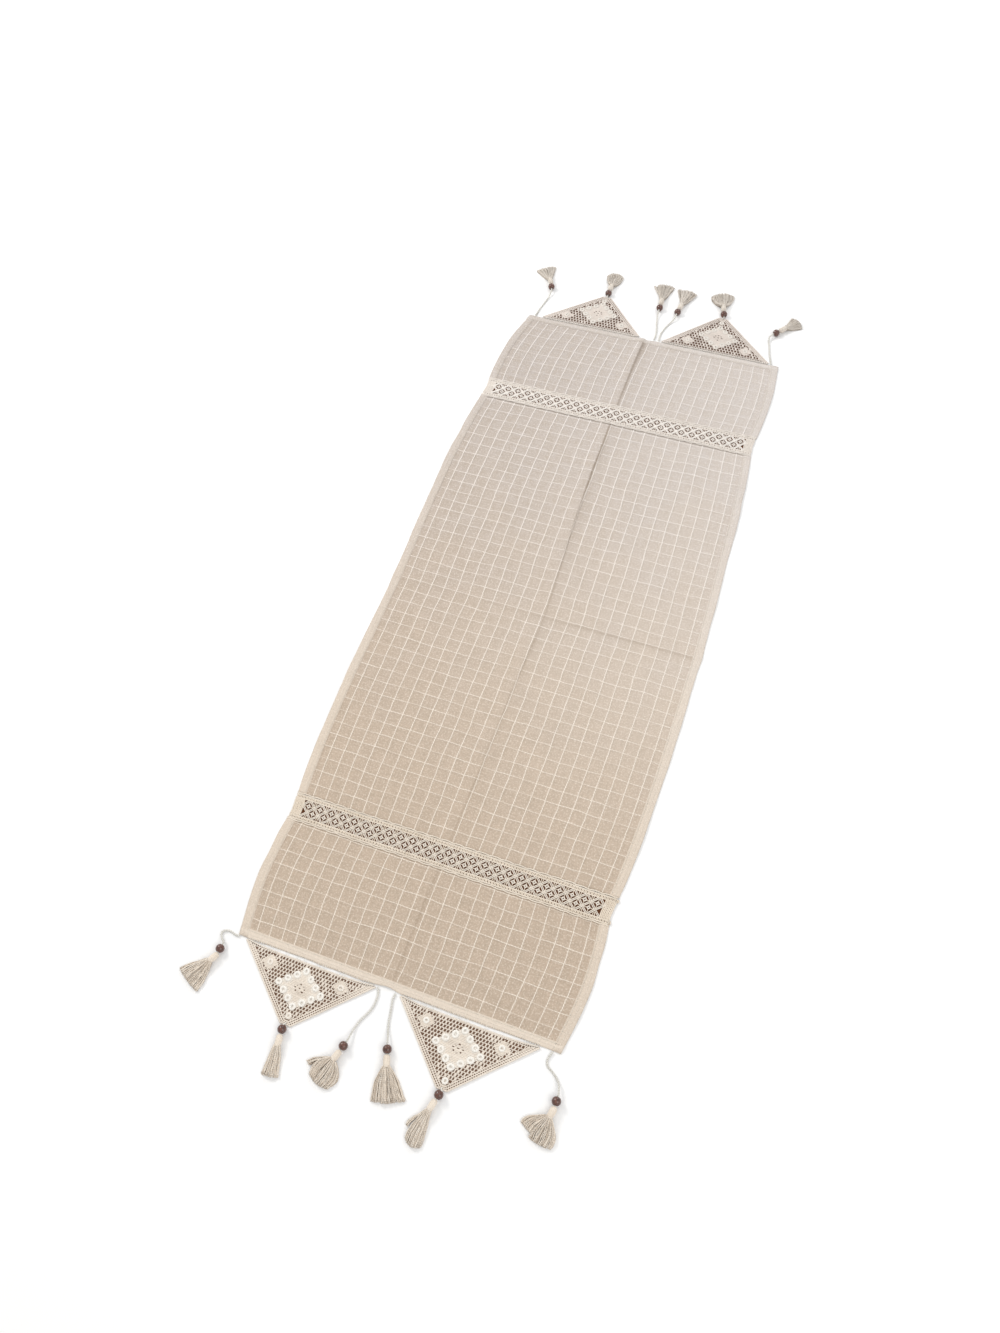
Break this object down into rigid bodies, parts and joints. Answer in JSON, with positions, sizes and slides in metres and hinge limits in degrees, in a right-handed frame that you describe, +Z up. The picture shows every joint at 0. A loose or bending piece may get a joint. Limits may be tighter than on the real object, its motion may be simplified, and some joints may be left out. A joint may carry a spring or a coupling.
{
  "type": "table runner",
  "caption": "Checked cotton table runner with crocheted insertion bands and lace points, and beaded tassels on twisted cords at both ends.",
  "frame": {"origin": "middle of the cloth, on the surface the runner lies on", "axes": "+Y along the runner towards its back end, +X to the right seen from the front end, +Z up through the cloth's top side"},
  "size_m": [0.5381, 1.5077, 0.012],
  "materials": {
    "cloth": "loose plain weave cotton with a raised check of thicker threads",
    "hem": "folded cotton hem, closely stitched",
    "crochet": "crocheted cotton cord",
    "lace": "fine crocheted cotton net",
    "stitching": "white sewing cotton",
    "cord": "twisted cotton cord",
    "bead": "stained and polished wood",
    "tassel": "bundled cotton thread"
  },
  "bodies": {
    "back_half": {"panel_back_half": "cloth", "side_hem_left_back_half": "hem", "side_hem_right_back_half": "hem"},
    "front_half": {"panel_front_half": "cloth", "side_hem_left_front_half": "hem", "side_hem_right_front_half": "hem"},
    "front_end": {"crochet_band_front": "crochet", "panel_front_end": "cloth", "side_hem_left_front_end": "hem", "side_hem_right_front_end": "hem", "end_hem_front": "hem"},
    "back_end": {"crochet_band_back": "crochet", "panel_back_end": "cloth", "side_hem_left_back_end": "hem", "side_hem_right_back_end": "hem", "end_hem_back": "hem"},
    "lace_front_left": {"lace_point_front_left": "lace", "seam_stitches_front_left": "stitching"},
    "lace_front_right": {"lace_point_front_right": "lace", "seam_stitches_front_right": "stitching"},
    "lace_back_left": {"lace_point_back_left": "lace", "seam_stitches_back_left": "stitching"},
    "lace_back_right": {"lace_point_back_right": "lace", "seam_stitches_back_right": "stitching"},
    "drop_front_left_point": {"loop_front_left_point": "cord", "bead_front_left_point": "bead", "tassel_front_left_point": "tassel"},
    "drop_front_right_point": {"loop_front_right_point": "cord", "bead_front_right_point": "bead", "tassel_front_right_point": "tassel"},
    "drop_back_left_point": {"loop_back_left_point": "cord", "bead_back_left_point": "bead", "tassel_back_left_point": "tassel"},
    "drop_back_right_point": {"loop_back_right_point": "cord", "bead_back_right_point": "bead", "tassel_back_right_point": "tassel"},
    "drop_front_left_corner": {"cord_front_left_corner": "cord", "bead_front_left_corner": "bead", "tassel_front_left_corner": "tassel"},
    "drop_front_left_inner": {"cord_front_left_inner": "cord", "bead_front_left_inner": "bead", "tassel_front_left_inner": "tassel"},
    "drop_front_right_inner": {"cord_front_right_inner": "cord", "bead_front_right_inner": "bead", "tassel_front_right_inner": "tassel"},
    "drop_front_right_corner": {"cord_front_right_corner": "cord", "bead_front_right_corner": "bead", "tassel_front_right_corner": "tassel"},
    "drop_back_left_corner": {"cord_back_left_corner": "cord", "bead_back_left_corner": "bead", "tassel_back_left_corner": "tassel"},
    "drop_back_left_inner": {"cord_back_left_inner": "cord", "bead_back_left_inner": "bead", "tassel_back_left_inner": "tassel"},
    "drop_back_right_inner": {"cord_back_right_inner": "cord", "bead_back_right_inner": "bead", "tassel_back_right_inner": "tassel"},
    "drop_back_right_corner": {"cord_back_right_corner": "cord", "bead_back_right_corner": "bead", "tassel_back_right_corner": "tassel"}
  },
  "joints": [
    {"name": "middle_fold", "type": "hinge", "parent": "back_half", "child": "front_half", "pos_m": [0, -0.0002, 0.0019], "axis": [-1, 0, 0], "range_deg": [0, 177]},
    {"name": "front_end_fold", "type": "hinge", "parent": "front_half", "child": "front_end", "pos_m": [0, -0.387, 0.0019], "axis": [1, 0, 0], "range_deg": [-176, 90]},
    {"name": "back_end_fold", "type": "hinge", "parent": "back_half", "child": "back_end", "pos_m": [0, 0.394, 0.0019], "axis": [-1, 0, 0], "range_deg": [-176, 90]},
    {"name": "lace_front_left_fold", "type": "hinge", "parent": "front_end", "child": "lace_front_left", "pos_m": [0, -0.602, 0.0019], "axis": [-1, 0, 0], "range_deg": [-90, 165]},
    {"name": "lace_front_right_fold", "type": "hinge", "parent": "front_end", "child": "lace_front_right", "pos_m": [0, -0.602, 0.0019], "axis": [-1, 0, 0], "range_deg": [-90, 165]},
    {"name": "lace_back_left_fold", "type": "hinge", "parent": "back_end", "child": "lace_back_left", "pos_m": [0, 0.602, 0.0019], "axis": [1, 0, 0], "range_deg": [-90, 165]},
    {"name": "lace_back_right_fold", "type": "hinge", "parent": "back_end", "child": "lace_back_right", "pos_m": [0, 0.602, 0.0019], "axis": [1, 0, 0], "range_deg": [-90, 165]},
    {"name": "drop_front_left_point_swing", "type": "hinge", "parent": "lace_front_left", "child": "drop_front_left_point", "pos_m": [-0.119, -0.6855, 0.0026], "axis": [1, 0, 0], "range_deg": [-90, 70]},
    {"name": "drop_front_right_point_swing", "type": "hinge", "parent": "lace_front_right", "child": "drop_front_right_point", "pos_m": [0.102, -0.6905, 0.0026], "axis": [1, 0, 0], "range_deg": [-90, 70]},
    {"name": "drop_back_left_point_swing", "type": "hinge", "parent": "lace_back_left", "child": "drop_back_left_point", "pos_m": [-0.106, 0.6805, 0.0026], "axis": [-1, 0, 0], "range_deg": [-90, 70]},
    {"name": "drop_back_right_point_swing", "type": "hinge", "parent": "lace_back_right", "child": "drop_back_right_point", "pos_m": [0.109, 0.6855, 0.0026], "axis": [-1, 0, 0], "range_deg": [-90, 70]},
    {"name": "drop_front_left_corner_swing", "type": "hinge", "parent": "front_end", "child": "drop_front_left_corner", "pos_m": [-0.228, -0.602, 0.0019], "axis": [-1, 0, 0], "range_deg": [-90, 90]},
    {"name": "drop_front_left_inner_swing", "type": "hinge", "parent": "front_end", "child": "drop_front_left_inner", "pos_m": [-0.022, -0.602, 0.0019], "axis": [-1, 0, 0], "range_deg": [-90, 90]},
    {"name": "drop_front_right_inner_swing", "type": "hinge", "parent": "front_end", "child": "drop_front_right_inner", "pos_m": [0.003, -0.602, 0.0019], "axis": [-1, 0, 0], "range_deg": [-90, 90]},
    {"name": "drop_front_right_corner_swing", "type": "hinge", "parent": "front_end", "child": "drop_front_right_corner", "pos_m": [0.219, -0.602, 0.0019], "axis": [-1, 0, 0], "range_deg": [-90, 90]},
    {"name": "drop_back_left_corner_swing", "type": "hinge", "parent": "back_end", "child": "drop_back_left_corner", "pos_m": [-0.219, 0.602, 0.0019], "axis": [1, 0, 0], "range_deg": [-90, 90]},
    {"name": "drop_back_left_inner_swing", "type": "hinge", "parent": "back_end", "child": "drop_back_left_inner", "pos_m": [0.005, 0.602, 0.0019], "axis": [1, 0, 0], "range_deg": [-90, 90]},
    {"name": "drop_back_right_inner_swing", "type": "hinge", "parent": "back_end", "child": "drop_back_right_inner", "pos_m": [0.014, 0.602, 0.0019], "axis": [1, 0, 0], "range_deg": [-90, 90]},
    {"name": "drop_back_right_corner_swing", "type": "hinge", "parent": "back_end", "child": "drop_back_right_corner", "pos_m": [0.216, 0.602, 0.0019], "axis": [1, 0, 0], "range_deg": [-90, 90]}
  ]
}
